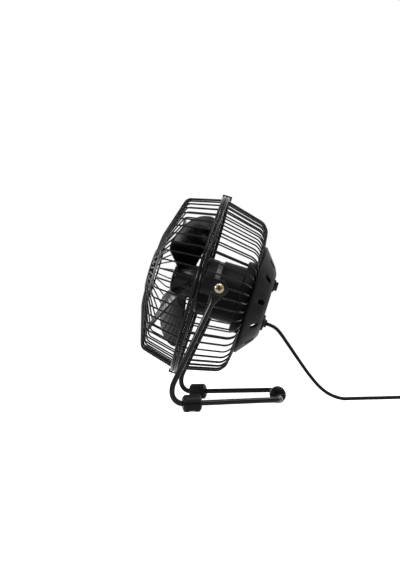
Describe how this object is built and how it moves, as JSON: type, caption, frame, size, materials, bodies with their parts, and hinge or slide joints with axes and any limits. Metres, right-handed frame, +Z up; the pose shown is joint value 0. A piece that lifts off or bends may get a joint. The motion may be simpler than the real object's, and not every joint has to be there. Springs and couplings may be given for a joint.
{
  "type": "usb desk fan",
  "caption": "Small USB desk fan: round wire cage on a bent rod stand with rubber feet, tilting on two side pivots, with a rear rocker switch and a coiled cable to a USB plug.",
  "frame": {"origin": "on the table, under the middle of the fan and its stand, measured without the cable", "axes": "+Z up, -Y the side that the fan faces and blows towards, +X the side that the picture shows"},
  "size_m": [0.176, 0.2903, 0.1832],
  "materials": {
    "painted_steel": "glossy black enamel on steel wire and rod",
    "badge_plastic": "satin black moulding",
    "foot_rubber": "matte black rubber",
    "plated_steel": "bright zinc or nickel plate",
    "yellow_zinc": "yellow zinc plate",
    "nylon": "natural nylon",
    "black_plastic": "fine textured black moulding",
    "blade_plastic": "glossy black moulding",
    "motor_steel": "drawn steel, bright",
    "bronze": "sintered bronze",
    "ferrite": "matte ferrite",
    "lamination_steel": "stacked laminations",
    "enamelled_copper": "lacquered copper wire",
    "copper": "turned copper",
    "brush_plate_plastic": "natural moulding",
    "carbon": "pressed carbon",
    "switch_plastic": "glossy black moulding",
    "brass": "stamped brass",
    "lead_insulation": "soft PVC insulation",
    "cable_rubber": "soft black PVC",
    "tie_rubber": "black rubber band"
  },
  "bodies": {
    "stand": {"stand_rod": "painted_steel", "foot_front_right": "foot_rubber", "foot_front_left": "foot_rubber", "foot_rear": "foot_rubber", "pivot_washers": "nylon", "cord_drop": "cable_rubber", "cord_run": "cable_rubber", "cord_coil": "cable_rubber", "coil_tie": "tie_rubber", "usb_plug_grip": "cable_rubber", "usb_plug_shell": "plated_steel"},
    "head": {"guard_front": "painted_steel", "guard_rear": "painted_steel", "guard_badge": "badge_plastic", "guard_clip_top": "painted_steel", "guard_clip_bottom": "painted_steel", "pivot_bracket_right": "painted_steel", "pivot_bracket_left": "painted_steel", "pivot_nuts": "plated_steel", "pivot_screws": "yellow_zinc", "motor_front_cap": "black_plastic", "motor_can": "motor_steel", "motor_bearing_front": "bronze", "motor_bearing_rear": "bronze", "motor_magnets": "ferrite", "brush_plate": "brush_plate_plastic", "motor_brushes": "carbon", "motor_housing": "black_plastic", "rear_cover": "black_plastic", "cover_screws": "plated_steel", "cable_gland": "cable_rubber", "switch_housing": "switch_plastic", "switch_terminals": "brass", "wire_leads": "lead_insulation"},
    "rotor": {"impeller": "blade_plastic", "motor_shaft": "plated_steel", "armature_core": "lamination_steel", "armature_windings": "enamelled_copper", "commutator": "copper"},
    "rocker": {"switch_rocker": "switch_plastic"}
  },
  "joints": [
    {"name": "head_tilt", "type": "hinge", "parent": "stand", "child": "head", "pos_m": [0, 0.00847, 0.099], "axis": [1, 0, 0], "range_deg": [-71, 109], "deforming": ["cord_drop"]},
    {"name": "impeller_spin", "type": "hinge", "parent": "head", "child": "rotor", "pos_m": [0, 0.00847, 0.099], "axis": [0, 0.9461, -0.3239], "continuous": true},
    {"name": "switch_rock", "type": "hinge", "parent": "head", "child": "rocker", "pos_m": [0, 0.05472, 0.10166], "axis": [0, -0.3239, -0.9461], "range_deg": [0, 20]}
  ]
}
